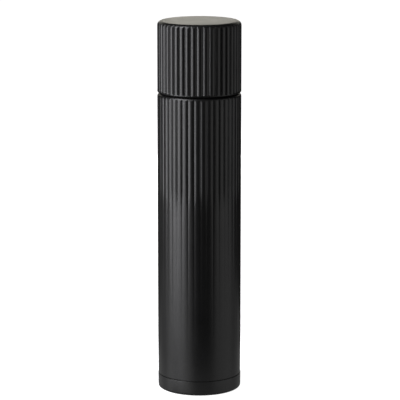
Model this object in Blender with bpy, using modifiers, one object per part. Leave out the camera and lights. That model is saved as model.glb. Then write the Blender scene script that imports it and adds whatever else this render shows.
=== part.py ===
"""Slim ribbed vacuum flask with a screw-on cup and a push-button pouring stopper.

Run it with blender --background --python part.py, or from Blender's text editor.
Sizes are in millimetres and are turned into metres as each mesh is made.
The flask stands on z = 0 with its axis on +Z.
"""

import math

import bmesh
import bpy
from mathutils import Matrix, Vector

MM = 0.001
GAP = 0.3  # clearance between neighbouring pieces

# Overall shape
HEIGHT = 281.5
CREST_R = 31.5  # over the crests of the ribs
STEEL = 0.5  # wall of the drawn steel shells

# Ribs, the same number on the body and on the cup
RIBS = 42
RIB_FACETS = 2  # facets across one rib, from valley to crest and down again
BODY_RIB_DEPTH = 0.65
CUP_RIB_DEPTH = 0.95
BODY_RIB_PHASE = math.radians(-88.3)  # where a valley lies, from +X
CUP_RIB_PHASE = math.radians(-84.9)
RIB_END_Z = 40.0  # the body's ribs fade out evenly from the shoulder down to here

# Foot of the body
BASE_R = 31.5
BASE_LOW_Z = 0.4  # the pad stands out below the base cup by this much
BASE_TOP_Z = 11.5
BASE_WALL = 0.7
FOOT_R = 30.3  # the shell's stepped-in lower end, inside the base cup
FOOT_LOW_Z = 2.0
SHELL_MID_R = 31.45  # the shell where its ribs have faded out
SHELL_LOW_R = 31.2  # the shell just above the base cup
PAD_R = 23.9
PAD_THICK = 1.3
END_PLATE_Z = 3.2
END_PLATE_RIM = 5.0

# Shoulder and neck
SHOULDER_Z = 227.4
SHOULDER_ROUND = 3.3
NECK_R = 23.3
NECK_TOP_Z = 244.9
LIP_Z = 245.8  # top of the steel mouth
MOUTH_R = 21.5

# Inner bottle
BOTTLE_R = 27.9
BOTTLE_LOW_Z = 12.8
BOTTLE_SHOULDER_Z = 216.5
BOTTLE_FLOOR_Z = 13.8
FOIL_LOW_Z = 20.0
FOIL_TOP_Z = 212.0

# Cup
CUP_RIM_Z = 228.0
CUP_RIM_ROUND = 1.0
CUP_TOP_ROUND = 4.0
CUP_BORE_R = 29.85
CUP_TOP_THICK = 1.6
CUP_BAND = 1.2  # height of the plain band below the cup's ribs

# Screw threads
LEAD = 6.0  # both screws have the same lead, so the cup can turn with the stopper
THREAD_ROOT = 1.6  # width of a thread at its root and at its crest
THREAD_CREST = 0.9
THREAD_SUNK = 0.25  # how far a thread's root reaches into its wall
LONG_TURNS = 1.5  # the thread on the fixed piece
SHORT_TURNS = 0.75  # the thread on the piece that turns
THREAD_STEPS = 20  # sections in one turn of a thread
COLLAR_R = 25.6
COLLAR_CREST_R = 26.7
RING_BORE_R = 27.1
RING_CREST_R = 26.1
RING_TOP_Z = 238.0
CUP_THREAD_Z = 230.5
COLLAR_TOP_Z = 243.9
MOUTH_CREST_R = 20.45
PLUG_R = 20.0
PLUG_CREST_R = 21.1
STOPPER_THREAD_Z = 231.0

# Stopper
FLANGE_R = 24.4
FLANGE_Z = 247.8
BOWL_R = 22.8
BOWL_Z = 249.8
BOWL_TOP_Z = 257.0
PLUG_BORE_R = 17.6
SEAT_Z = 223.0
PORT_R = 8.0
FLOOR_Z = 225.2
TUBE_R = 11.3
CHANNEL_R = 9.0
TUBE_TOP_Z = 245.4
GUIDE_Z = 239.5
STEM_R = 3.0
BORE_FOR_STEM = STEM_R + GAP
BUTTON_R = 15.4
BUTTON_TOP_Z = 264.2
BUTTON_LOW_Z = 252.2
BUTTON_ROOF = 2.4
BOSS_LOW_Z = 253.5
GROOVE_DEPTH = 0.8
GROOVE_LOW_Z = 256.6
GROOVE_TOP_Z = 258.4
COVER_BORE_R = 16.0
COVER_LOW_Z = 252.5
COVER_FLANGE_Z = 255.2
COVER_TOP_Z = 259.0
WINDOW_Z = 252.6  # middle of the pour window and of the vent hole
STEM_TOP_Z = 259.6
STEM_LOW_Z = 213.1
SEAL_THICK = 2.5  # the valve's washer and the plate behind it
SPRING_R = 11.0
SPRING_WIRE_R = 0.5
SPRING_COILS = 4

# Facets round each kind of piece
RIB_STEPS = RIBS * RIB_FACETS
LARGE_STEPS = 32
SMALL_STEPS = 24
TINY_STEPS = 12


def clear_scene():
    for old in list(bpy.data.objects):
        bpy.data.objects.remove(old)


def new_collection(name):
    made = bpy.data.collections.new(name)
    bpy.context.scene.collection.children.link(made)
    return made


clear_scene()
PARTS = new_collection("vacuum_flask")
TOOLS = new_collection("cutters")


def material(name, color, roughness, metallic=0.0):
    made = bpy.data.materials.new(name)
    made.use_nodes = True
    shader = made.node_tree.nodes["Principled BSDF"]
    shader.inputs["Base Color"].default_value = (*color, 1.0)
    shader.inputs["Roughness"].default_value = roughness
    shader.inputs["Metallic"].default_value = metallic
    return made


BLACK_PAINT = material("black_paint", (0.012, 0.012, 0.013), 0.38)
STEEL_SKIN = material("bare_steel", (0.60, 0.59, 0.57), 0.28, 1.0)
FOIL = material("foil", (0.83, 0.83, 0.84), 0.2, 1.0)
BLACK_PLASTIC = material("black_plastic", (0.02, 0.02, 0.021), 0.45)
GREY_PLASTIC = material("grey_plastic", (0.30, 0.30, 0.31), 0.5)
SILICONE = material("silicone", (0.045, 0.045, 0.047), 0.7)
FOAM = material("foam", (0.82, 0.81, 0.78), 0.9)
GLASS_BEAD = material("glass_bead", (0.25, 0.28, 0.26), 0.15)
GETTER_METAL = material("getter_metal", (0.22, 0.22, 0.24), 0.6, 1.0)


# ---------------------------------------------------------------- helpers


def arc(centre_r, centre_z, radius, start, end, steps):
    """Points (r, z) along an arc, angles in degrees from the +r direction."""
    turns = [math.radians(start + (end - start) * i / steps) for i in range(steps + 1)]
    return [
        (centre_r + radius * math.cos(a), centre_z + radius * math.sin(a))
        for a in turns
    ]


def add_object(name, mesh, look, collection=PARTS):
    made = bpy.data.objects.new(name, mesh)
    collection.objects.link(made)
    mesh.materials.append(look)
    return made


def as_mesh(obj):
    """Replaces the object's modifiers with the mesh that they make."""
    bpy.context.view_layer.update()
    graph = bpy.context.evaluated_depsgraph_get()
    mesh = bpy.data.meshes.new_from_object(obj.evaluated_get(graph))
    obj.modifiers.clear()
    obj.data = mesh
    return obj


def turned(name, profile, look, steps, closed=True, collection=PARTS):
    """A turned piece. Its profile runs down the outer side, top to bottom.

    An open profile starts and ends on the axis.
    """
    mesh = bpy.data.meshes.new(name)
    count = len(profile)
    edges = [(i, i + 1) for i in range(count - 1)]
    if closed:
        edges.append((count - 1, 0))
    mesh.from_pydata([(r * MM, 0.0, z * MM) for r, z in profile], edges, [])
    made = add_object(name, mesh, look, collection)
    screw = made.modifiers.new("turn", "SCREW")
    screw.axis = "Z"
    screw.steps = steps
    screw.render_steps = steps
    screw.use_merge_vertices = True
    screw.merge_threshold = 0.00001
    as_mesh(made)
    made.data.shade_smooth()
    made.data.set_sharp_from_angle(angle=math.radians(35))
    return made


def disc(name, radius, low_z, high_z, look, steps, bevel=0.3):
    """A plain round plate with slightly broken edges."""
    profile = [
        (0, high_z),
        (radius - bevel, high_z),
        (radius, high_z - bevel),
        (radius, low_z + bevel),
        (radius - bevel, low_z),
        (0, low_z),
    ]
    return turned(name, profile, look, steps, closed=False)


def ring(name, outer_r, inner_r, low_z, high_z, look, steps):
    """A plain ring of rectangular section."""
    profile = [(outer_r, high_z), (outer_r, low_z), (inner_r, low_z), (inner_r, high_z)]
    return turned(name, profile, look, steps)


def combine(target, other, operation):
    """Joins the other object to the target, or cuts it out, and hides it."""
    for owner in list(other.users_collection):
        owner.objects.unlink(other)
    TOOLS.objects.link(other)
    other.hide_render = True
    other.display_type = "WIRE"
    boolean = target.modifiers.new(operation.lower() + "_" + other.name, "BOOLEAN")
    boolean.operation = operation
    boolean.object = other
    return as_mesh(target)


def rib_valley(angle, depth):
    """Depth of the rib pattern below the crests: each rib is one convex arc."""
    pitch = 2 * math.pi / RIBS
    half_width = math.pi * CREST_R / RIBS
    rib_radius = (half_width**2 + depth**2) / (2 * depth)
    across = ((angle / pitch) % 1.0 - 0.5) * 2 * half_width
    return rib_radius - math.sqrt(rib_radius**2 - across**2)


def press_ribs(obj, depth_at, wall, phase):
    """Presses the ribs into a turned shell, then turns the shell to the phase.

    depth_at gives the depth at a height, and wall the shell's thickness. Points
    inside a thin shell are pressed in with it; a thick wall stays plain inside.
    """
    for vertex in obj.data.vertices:
        x, y, z = vertex.co / MM
        radius = math.hypot(x, y)
        depth = depth_at(z)
        inside = radius < CREST_R - 0.8 * wall
        if depth <= 0 or radius < NECK_R or (inside and wall > depth):
            continue
        limit = CREST_R - (wall if inside else 0.0)
        limit -= rib_valley(math.atan2(y, x), depth)
        if radius > limit:
            vertex.co.x *= limit / radius
            vertex.co.y *= limit / radius
    obj.data.transform(Matrix.Rotation(phase, 4, "Z"))


def thread(name, wall_r, crest_r, start_z, start_angle, turns):
    """A helical thread of trapezoid section that runs out at both ends."""
    outward = 1 if crest_r > wall_r else -1
    root_r = wall_r - outward * THREAD_SUNK
    count = round(turns * THREAD_STEPS)
    ends = 3  # steps over which the thread runs out
    shape = bmesh.new()
    sections = []
    for i in range(count + 1):
        share = min(1.0, (min(i, count - i) + 0.5) / ends)
        angle = start_angle + 2 * math.pi * i / THREAD_STEPS
        middle = start_z + LEAD * i / THREAD_STEPS
        crest = wall_r + (crest_r - wall_r) * share
        corners = [
            (root_r, -THREAD_ROOT / 2),
            (crest, -THREAD_CREST / 2),
            (crest, THREAD_CREST / 2),
            (root_r, THREAD_ROOT / 2),
        ]
        sections.append(
            [
                shape.verts.new(
                    Vector((r * math.cos(angle), r * math.sin(angle), middle + dz)) * MM
                )
                for r, dz in corners
            ]
        )
    for one, two in zip(sections, sections[1:]):
        for k in range(4):
            n = (k + 1) % 4
            shape.faces.new((one[k], one[n], two[n], two[k]))
    shape.faces.new(reversed(sections[0]))
    shape.faces.new(sections[-1])
    bmesh.ops.recalc_face_normals(shape, faces=shape.faces)
    mesh = bpy.data.meshes.new(name)
    shape.to_mesh(mesh)
    shape.free()
    return add_object(name, mesh, BLACK_PLASTIC)


def block(name, size, place):
    """A box used as a cutter or a spoke."""
    shape = bmesh.new()
    bmesh.ops.create_cube(shape, size=1.0)
    mesh = bpy.data.meshes.new(name)
    shape.to_mesh(mesh)
    shape.free()
    mesh.transform(Matrix.Diagonal((*(side * MM for side in size), 1.0)))
    mesh.transform(Matrix.Translation(Vector(place) * MM))
    return add_object(name, mesh, BLACK_PLASTIC)


def rod(name, radius, length, steps):
    """A cylinder round the Z axis, centred on the origin."""
    shape = bmesh.new()
    bmesh.ops.create_cone(
        shape,
        cap_ends=True,
        segments=steps,
        radius1=radius * MM,
        radius2=radius * MM,
        depth=length * MM,
    )
    mesh = bpy.data.meshes.new(name)
    shape.to_mesh(mesh)
    shape.free()
    return add_object(name, mesh, BLACK_PLASTIC)


# ---------------------------------------------------------------- body


def body_rib_depth(z):
    """Full depth at the shoulder, fading evenly to nothing near the foot."""
    share = (z - RIB_END_Z) / (SHOULDER_Z - SHOULDER_ROUND - RIB_END_Z)
    return BODY_RIB_DEPTH * max(0.0, min(1.0, share))


def make_outer_shell():
    """The painted steel jacket: stepped foot, ribbed wall, shoulder and neck."""
    shoulder_r = CREST_R - SHOULDER_ROUND
    round_z = SHOULDER_Z - SHOULDER_ROUND
    step_z = BASE_TOP_Z + GAP
    outer = [(NECK_R, NECK_TOP_Z), (NECK_R, SHOULDER_Z)]
    outer += arc(shoulder_r, round_z, SHOULDER_ROUND, 90, 0, 2)
    outer += [(SHELL_MID_R, RIB_END_Z), (SHELL_LOW_R, step_z + 0.5)]
    outer += [(FOOT_R, step_z), (FOOT_R, FOOT_LOW_Z)]
    inner = [(FOOT_R - STEEL, FOOT_LOW_Z), (FOOT_R - STEEL, step_z + 0.2)]
    inner += [(SHELL_LOW_R - STEEL, step_z + 0.7), (SHELL_MID_R - STEEL, RIB_END_Z)]
    inner += [(CREST_R - STEEL, round_z), (shoulder_r, SHOULDER_Z - STEEL)]
    inner += [(NECK_R - STEEL, SHOULDER_Z - STEEL), (NECK_R - STEEL, NECK_TOP_Z)]
    shell = turned("outer_shell", outer + inner, BLACK_PAINT, RIB_STEPS)
    press_ribs(shell, body_rib_depth, STEEL, BODY_RIB_PHASE)
    return shell


def make_inner_bottle():
    """The bare steel bottle inside, with its rolled mouth and its thread."""
    wall = 0.6
    profile = [
        (NECK_R, LIP_Z),
        (NECK_R, LIP_Z - wall),
        (MOUTH_R + wall, LIP_Z - wall),
        (MOUTH_R + wall, BOTTLE_SHOULDER_Z + 7.2),
        (BOTTLE_R - 0.9, BOTTLE_SHOULDER_Z + 2.0),
        (BOTTLE_R, BOTTLE_SHOULDER_Z),
        (BOTTLE_R, BOTTLE_LOW_Z),
        (BOTTLE_R - STEEL, BOTTLE_LOW_Z),
        (BOTTLE_R - STEEL, BOTTLE_SHOULDER_Z - 0.1),
        (BOTTLE_R - 1.3, BOTTLE_SHOULDER_Z + 1.6),
        (MOUTH_R, BOTTLE_SHOULDER_Z + 6.9),
        (MOUTH_R, LIP_Z),
    ]
    bottle = turned("inner_bottle", profile, STEEL_SKIN, LARGE_STEPS)
    ridge = thread(
        "mouth_thread",
        MOUTH_R,
        MOUTH_CREST_R,
        STOPPER_THREAD_Z,
        0.0,
        LONG_TURNS,
    )
    return combine(bottle, ridge, "UNION")


def make_inner_bottom():
    """The dished floor welded into the bottle's lower end."""
    rim_r = BOTTLE_R - STEEL - GAP
    low = BOTTLE_FLOOR_Z - STEEL
    profile = [
        (0, BOTTLE_FLOOR_Z),
        (rim_r - 1.2, BOTTLE_FLOOR_Z),
        (rim_r - STEEL, BOTTLE_FLOOR_Z + 0.7),
        (rim_r - STEEL, BOTTLE_FLOOR_Z + 3.0),
        (rim_r, BOTTLE_FLOOR_Z + 3.0),
        (rim_r, low + 0.9),
        (rim_r - 0.9, low),
        (0, low),
    ]
    return turned("inner_bottom", profile, STEEL_SKIN, LARGE_STEPS, closed=False)


def make_reflective_foil():
    """The foil wrapped round the inner bottle, inside the vacuum."""
    inner_r = BOTTLE_R + GAP
    outer_r = inner_r + 0.15
    return ring("reflective_foil", outer_r, inner_r, FOIL_LOW_Z, FOIL_TOP_Z, FOIL, LARGE_STEPS)


def make_getter_capsule():
    """The pill that soaks up stray gas, held under the bottle's floor."""
    top_z = BOTTLE_FLOOR_Z - STEEL - GAP
    capsule = disc("getter_capsule", 4.5, top_z - 2.4, top_z, GETTER_METAL, TINY_STEPS)
    capsule.location.x = 14.0 * MM
    return capsule


def make_vacuum_bottom():
    """The shell's end plate, with a dimple and the hole the air was drawn through."""
    rim_r = FOOT_R - STEEL - GAP
    low = END_PLATE_Z
    rim_z = low + END_PLATE_RIM
    hole_r = 1.5
    profile = [
        (rim_r, rim_z),
        (rim_r, low + 0.7),
        (rim_r - 0.7, low),
        (7.0, low),
        (5.4, low + 1.6),
        (hole_r, low + 1.6),
        (hole_r, low + 1.6 + STEEL),
        (5.6, low + 1.6 + STEEL),
        (7.2, low + STEEL),
        (rim_r - 0.9, low + STEEL),
        (rim_r - STEEL, low + 0.9),
        (rim_r - STEEL, rim_z),
    ]
    return turned("vacuum_bottom", profile, STEEL_SKIN, SMALL_STEPS)


def make_vacuum_seal():
    """The glass bead melted over the evacuation hole."""
    low = END_PLATE_Z + 0.1
    profile = [(0, low + 1.2), (2.6, low + 1.2), (3.6, low + 0.8), (2.6, low + 0.2), (0, low)]
    return turned("vacuum_seal", profile, GLASS_BEAD, TINY_STEPS, closed=False)


def make_base_cup():
    """The smooth painted foot that covers the shell's lower end."""
    bore_r = BASE_R - BASE_WALL
    recess_r = PAD_R + 0.7
    profile = [
        (0, 2.4),
        (recess_r, 2.4),
        (recess_r + 1.0, 1.2),
        (bore_r - 0.7, 1.2),
        (bore_r, 1.9),
        (bore_r, BASE_TOP_Z),
        (BASE_R - 0.2, BASE_TOP_Z),
        (BASE_R, BASE_TOP_Z - 0.2),
    ]
    profile += arc(BASE_R - 1.0, BASE_LOW_Z + 1.0, 1.0, 0, -90, 2)
    profile += [(recess_r + 0.6, BASE_LOW_Z), (recess_r - 0.4, 1.6), (0, 1.6)]
    return turned("base_cup", profile, BLACK_PAINT, LARGE_STEPS, closed=False)


def make_base_pad():
    """The silicone pad that the flask stands on."""
    return disc("base_pad", PAD_R, 0.0, PAD_THICK, SILICONE, LARGE_STEPS)


def make_neck_collar():
    """The moulded collar on the neck, with the thread that the cup screws on."""
    foot_z = SHOULDER_Z + GAP
    bore_r = NECK_R + GAP
    profile = [
        (COLLAR_R, COLLAR_TOP_Z),
        (COLLAR_R, foot_z + 1.0),
        (COLLAR_R + 1.0, foot_z + 1.0),
        (COLLAR_R + 1.0, foot_z),
        (bore_r, foot_z),
        (bore_r, COLLAR_TOP_Z),
    ]
    collar = turned("neck_collar", profile, BLACK_PLASTIC, LARGE_STEPS)
    ridge = thread(
        "collar_thread",
        COLLAR_R,
        COLLAR_CREST_R,
        CUP_THREAD_Z,
        0.0,
        LONG_TURNS,
    )
    return combine(collar, ridge, "UNION")


# ---------------------------------------------------------------- cup


def cup_rib_depth(z):
    """Full depth up the cup's side, with a plain band at the rim."""
    share = (z - CUP_RIM_Z - CUP_BAND) / 0.8
    return CUP_RIB_DEPTH * max(0.0, min(1.0, share))


def make_cup_shell():
    """The ribbed outside of the cup, closed by its flat top."""
    side = arc(CREST_R - CUP_TOP_ROUND, HEIGHT - CUP_TOP_ROUND, CUP_TOP_ROUND, 90, 0, 2)
    band_z = CUP_RIM_Z + CUP_BAND
    side += [(CREST_R, band_z + 0.8), (CREST_R, band_z), (CREST_R - CUP_RIM_ROUND, CUP_RIM_Z)]
    inner_z = HEIGHT - CUP_TOP_THICK
    inner = [(CUP_BORE_R, CUP_RIM_Z)]
    inner += arc(CUP_BORE_R - 3.3, inner_z - 3.3, 3.3, 0, 90, 2)
    profile = [(0, HEIGHT)] + side + inner + [(0, inner_z)]
    shell = turned("cup_shell", profile, BLACK_PAINT, RIB_STEPS, closed=False)
    press_ribs(shell, cup_rib_depth, CREST_R - CUP_BORE_R, CUP_RIB_PHASE)
    return shell


def make_cup_liner():
    """The steel drinking cup inside the shell."""
    outer_r = CUP_BORE_R - GAP
    outer_z = HEIGHT - CUP_TOP_THICK - GAP
    rim_z = CUP_RIM_Z + 2.4
    wall = 0.6
    profile = [(0, outer_z)]
    profile += arc(outer_r - 3.6, outer_z - 3.6, 3.6, 90, 0, 2)
    profile += [(outer_r, rim_z), (outer_r - wall, rim_z)]
    profile += arc(outer_r - 3.6, outer_z - 3.6, 3.6 - wall, 0, 90, 2)
    profile += [(0, outer_z - wall)]
    return turned("cup_liner", profile, STEEL_SKIN, LARGE_STEPS, closed=False)


def make_cup_thread_ring():
    """The moulded ring in the cup's mouth, with the thread that grips the collar."""
    foot_z = CUP_RIM_Z + 1.2
    flange_r = CUP_BORE_R - GAP
    ring_r = flange_r - 0.9
    profile = [
        (ring_r, RING_TOP_Z),
        (ring_r, foot_z + 0.9),
        (flange_r, foot_z + 0.9),
        (flange_r, foot_z),
        (RING_BORE_R, foot_z),
        (RING_BORE_R, RING_TOP_Z),
    ]
    made = turned("cup_thread_ring", profile, BLACK_PLASTIC, LARGE_STEPS)
    ridge = thread(
        "cup_thread",
        RING_BORE_R,
        RING_CREST_R,
        CUP_THREAD_Z,
        math.pi,
        SHORT_TURNS,
    )
    return combine(made, ridge, "UNION")


def make_cup_gasket():
    """The silicone ring in the cup's rim that stops it rattling on the shoulder."""
    inner_r = COLLAR_R + 1.0 + 0.35
    outer_r = CUP_BORE_R - 0.35
    low_z = SHOULDER_Z + GAP
    return ring("cup_gasket", outer_r, inner_r, low_z, low_z + 1.2, SILICONE, LARGE_STEPS)


# ---------------------------------------------------------------- stopper


def make_stopper_body():
    """The plug: threaded wall, valve port below, pouring bowl above."""
    profile = [
        (FLANGE_R, BOWL_TOP_Z),
        (FLANGE_R, FLANGE_Z),
        (PLUG_R, FLANGE_Z),
        (PLUG_R, SEAT_Z + 1.0),
        (PLUG_R - 1.0, SEAT_Z),
        (PORT_R, SEAT_Z),
        (PORT_R, FLOOR_Z),
        (PLUG_BORE_R, FLOOR_Z),
        (PLUG_BORE_R, BOWL_Z),
        (BOWL_R, BOWL_Z),
        (BOWL_R, BOWL_TOP_Z),
    ]
    plug = turned("stopper_body", profile, BLACK_PLASTIC, LARGE_STEPS)
    ridge = thread(
        "plug_thread",
        PLUG_R,
        PLUG_CREST_R,
        STOPPER_THREAD_Z,
        math.pi,
        SHORT_TURNS,
    )
    combine(plug, ridge, "UNION")
    middle_r = (BOWL_R + FLANGE_R) / 2
    window = block("pour_window", (8.0, 14.0, 4.6), (middle_r, 0, WINDOW_Z))
    combine(plug, window, "DIFFERENCE")
    vent = rod("vent_hole", 2.2, 8.0, 12)
    vent.data.transform(Matrix.Rotation(math.pi / 2, 4, "Y"))
    vent.data.transform(Matrix.Translation(Vector((-middle_r, 0, WINDOW_Z)) * MM))
    return combine(plug, vent, "DIFFERENCE")


def make_stopper_gasket():
    """The silicone ring squeezed between the plug's flange and the mouth."""
    low_z = LIP_Z + GAP
    return ring("stopper_gasket", 23.2, PLUG_R + 0.4, low_z, low_z + 1.4, SILICONE, LARGE_STEPS)


def make_insulating_core():
    """The foam ring between the plug's wall and the pouring channel."""
    low_z = FLOOR_Z + GAP
    high_z = TUBE_TOP_Z - 1.5 - GAP
    outer_r = PLUG_BORE_R - GAP
    return ring("insulating_core", outer_r, TUBE_R + GAP, low_z, high_z, FOAM, SMALL_STEPS)


def make_flow_tube():
    """The pouring channel, with the flange that closes the foam in."""
    flange_r = PLUG_BORE_R - GAP
    under = TUBE_TOP_Z - 1.5
    low_z = FLOOR_Z + GAP
    profile = [
        (flange_r, TUBE_TOP_Z),
        (flange_r, under),
        (TUBE_R, under),
        (TUBE_R, low_z),
        (CHANNEL_R, low_z),
        (CHANNEL_R, TUBE_TOP_Z),
    ]
    return turned("flow_tube", profile, GREY_PLASTIC, SMALL_STEPS)


def make_stem_guide():
    """The three-armed guide that keeps the valve stem central in the channel."""
    rim_r = CHANNEL_R - GAP
    high_z = GUIDE_Z + 3.0
    guide = ring("stem_guide", rim_r, rim_r - 0.9, GUIDE_Z, high_z, GREY_PLASTIC, 24)
    hub_r = BORE_FOR_STEM + 1.6
    hub = ring("guide_hub", hub_r, BORE_FOR_STEM + 0.1, GUIDE_Z, high_z, GREY_PLASTIC, 24)
    combine(guide, hub, "UNION")
    for k in range(3):
        inner_r, outer_r = hub_r - 0.5, rim_r - 0.4
        place = ((inner_r + outer_r) / 2, 0, GUIDE_Z + 1.5)
        arm = block(f"guide_arm_{k}", (outer_r - inner_r, 1.4, 2.4), place)
        arm.data.transform(Matrix.Rotation(2 * math.pi * k / 3, 4, "Z"))
        combine(guide, arm, "UNION")
    return guide


def make_stopper_cover():
    """The ring that closes the bowl and guides the button in its collar."""
    collar_r = COVER_BORE_R + 1.4
    rim_r = BOWL_R - GAP
    flange_top = COVER_FLANGE_Z + 2.0
    profile = [
        (collar_r - 0.3, COVER_TOP_Z),
        (collar_r, COVER_TOP_Z - 0.3),
        (collar_r, flange_top),
        (rim_r, flange_top),
        (rim_r, COVER_FLANGE_Z),
        (collar_r, COVER_FLANGE_Z),
        (collar_r, COVER_LOW_Z),
        (COVER_BORE_R, COVER_LOW_Z),
        (COVER_BORE_R, COVER_TOP_Z),
    ]
    return turned("stopper_cover", profile, BLACK_PLASTIC, SMALL_STEPS)


def make_button_spring():
    """The steel spring that lifts the button and shuts the valve."""
    points_per_turn = 10
    low_z = TUBE_TOP_Z + GAP + SPRING_WIRE_R
    high_z = BUTTON_TOP_Z - BUTTON_ROOF - GAP - SPRING_WIRE_R
    count = SPRING_COILS * points_per_turn
    curve = bpy.data.curves.new("button_spring", "CURVE")
    curve.dimensions = "3D"
    curve.bevel_depth = SPRING_WIRE_R * MM
    curve.bevel_resolution = 1
    curve.use_fill_caps = True
    line = curve.splines.new("POLY")
    line.points.add(count)
    for i, point in enumerate(line.points):
        angle = 2 * math.pi * i / points_per_turn
        z = low_z + (high_z - low_z) * i / count
        x, y = SPRING_R * math.cos(angle), SPRING_R * math.sin(angle)
        point.co = (x * MM, y * MM, z * MM, 1)
    spring = bpy.data.objects.new("button_spring", curve)
    PARTS.objects.link(spring)
    curve.materials.append(STEEL_SKIN)
    return spring


# ---------------------------------------------------------------- button and valve


def make_push_button():
    """The button: a cap with a skirt, a groove for its seal and a boss for the stem."""
    roof_z = BUTTON_TOP_Z - BUTTON_ROOF
    skirt_r = BUTTON_R - 1.6
    boss_r = BORE_FOR_STEM + 2.3
    profile = [(0, BUTTON_TOP_Z - 0.5), (10.0, BUTTON_TOP_Z - 0.2)]
    profile += arc(BUTTON_R - 1.5, BUTTON_TOP_Z - 1.5, 1.5, 90, 0, 2)
    profile += [
        (BUTTON_R, GROOVE_TOP_Z),
        (BUTTON_R - GROOVE_DEPTH, GROOVE_TOP_Z),
        (BUTTON_R - GROOVE_DEPTH, GROOVE_LOW_Z),
        (BUTTON_R, GROOVE_LOW_Z),
        (BUTTON_R, BUTTON_LOW_Z),
        (skirt_r, BUTTON_LOW_Z),
        (skirt_r, roof_z),
        (boss_r, roof_z),
        (boss_r, BOSS_LOW_Z),
        (BORE_FOR_STEM, BOSS_LOW_Z),
        (BORE_FOR_STEM, STEM_TOP_Z + GAP),
        (0, STEM_TOP_Z + GAP),
    ]
    return turned("push_button", profile, GREY_PLASTIC, SMALL_STEPS, closed=False)


def make_button_seal():
    """The sealing ring in the button's groove, sliding in the cover's collar."""
    inner_r = BUTTON_R - GROOVE_DEPTH + GAP
    low_z, high_z = GROOVE_LOW_Z + GAP, GROOVE_TOP_Z - GAP
    return ring("button_seal", COVER_BORE_R - GAP, inner_r, low_z, high_z, SILICONE, SMALL_STEPS)


def make_valve_stem():
    """The rod from the button to the valve, with the shoulder that bears on the seal."""
    profile = [
        (0, STEM_TOP_Z),
        (STEM_R - 0.4, STEM_TOP_Z),
        (STEM_R, STEM_TOP_Z - 0.4),
        (STEM_R, SEAT_Z + 1.6),
        (2 * STEM_R, SEAT_Z + 1.6),
        (2 * STEM_R, SEAT_Z),
        (STEM_R, SEAT_Z),
        (STEM_R, STEM_LOW_Z + 0.5),
        (STEM_R - 0.5, STEM_LOW_Z),
        (0, STEM_LOW_Z),
    ]
    return turned("valve_stem", profile, GREY_PLASTIC, TINY_STEPS, closed=False)


def make_valve_seal():
    """The silicone washer that closes the port from below."""
    high_z = SEAT_Z - GAP
    low_z = high_z - SEAL_THICK
    return ring("valve_seal", 11.2, BORE_FOR_STEM, low_z, high_z, SILICONE, SMALL_STEPS)


def make_valve_disc():
    """The plate that backs the washer."""
    high_z = SEAT_Z - SEAL_THICK - 2 * GAP
    low_z = high_z - SEAL_THICK
    return ring("valve_disc", 10.6, BORE_FOR_STEM, low_z, high_z, GREY_PLASTIC, SMALL_STEPS)


def make_stem_nut():
    """The six-sided nut that holds the plate and the washer on the stem."""
    high_z = SEAT_Z - 2 * SEAL_THICK - 3 * GAP
    thick = 2.8
    nut = rod("stem_nut", 5.8, thick, 6)
    nut.data.transform(Matrix.Translation((0, 0, (high_z - thick / 2) * MM)))
    bore = rod("nut_bore", BORE_FOR_STEM, 4 * thick, 20)
    bore.data.transform(Matrix.Translation((0, 0, (high_z - thick / 2) * MM)))
    return combine(nut, bore, "DIFFERENCE")


MAKERS = (
    make_outer_shell,
    make_inner_bottle,
    make_inner_bottom,
    make_reflective_foil,
    make_getter_capsule,
    make_vacuum_bottom,
    make_vacuum_seal,
    make_base_cup,
    make_base_pad,
    make_neck_collar,
    make_cup_shell,
    make_cup_liner,
    make_cup_thread_ring,
    make_cup_gasket,
    make_stopper_body,
    make_stopper_gasket,
    make_insulating_core,
    make_flow_tube,
    make_stem_guide,
    make_stopper_cover,
    make_button_spring,
    make_push_button,
    make_button_seal,
    make_valve_stem,
    make_valve_seal,
    make_valve_disc,
    make_stem_nut,
)

for make in MAKERS:
    make()
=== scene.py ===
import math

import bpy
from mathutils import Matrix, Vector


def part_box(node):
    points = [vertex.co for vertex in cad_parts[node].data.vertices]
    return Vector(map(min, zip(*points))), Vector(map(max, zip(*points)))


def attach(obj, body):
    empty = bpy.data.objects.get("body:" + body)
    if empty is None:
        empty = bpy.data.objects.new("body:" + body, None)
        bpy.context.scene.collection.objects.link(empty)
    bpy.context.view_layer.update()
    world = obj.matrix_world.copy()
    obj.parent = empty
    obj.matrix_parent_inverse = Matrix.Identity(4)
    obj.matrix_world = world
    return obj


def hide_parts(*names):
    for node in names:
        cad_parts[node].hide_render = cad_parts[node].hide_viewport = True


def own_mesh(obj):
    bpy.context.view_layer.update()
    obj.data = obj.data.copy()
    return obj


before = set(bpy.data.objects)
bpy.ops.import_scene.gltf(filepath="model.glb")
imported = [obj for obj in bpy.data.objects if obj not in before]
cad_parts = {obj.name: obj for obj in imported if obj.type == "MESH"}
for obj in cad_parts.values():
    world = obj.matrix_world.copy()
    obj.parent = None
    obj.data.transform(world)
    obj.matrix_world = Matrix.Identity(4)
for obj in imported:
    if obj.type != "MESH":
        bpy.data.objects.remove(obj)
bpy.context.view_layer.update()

# Looks of a slim ribbed vacuum flask in a plain studio. Every piece gets a procedural
# material, and all but six that stay out of sight get a fine mesh. Profiles are in
# millimetres, as (radius, z) or (radius, z, rounding of that corner), and run down the
# outer side of a piece from top to bottom.

MM = 0.001
TAU = 2 * math.pi
GAP = 0.3  # clearance between neighbouring pieces
STEEL = 0.5  # wall of the drawn steel shells
SHARP_ANGLE = math.radians(38)  # faces that meet at more than this show an edge
ON_AXIS = 1e-6  # a profile point nearer to the axis than this lies on it


def measure(node):
    """(lowest z, highest z, largest radius) of a CAD node, in millimetres."""
    low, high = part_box(node)
    reach = max(math.hypot(v.co.x, v.co.y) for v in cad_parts[node].data.vertices)
    return low.z / MM, high.z / MM, reach / MM


# ---------------------------------------------------------------- materials
# Texture scales are in cells per metre, and bump distances in metres.

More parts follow.
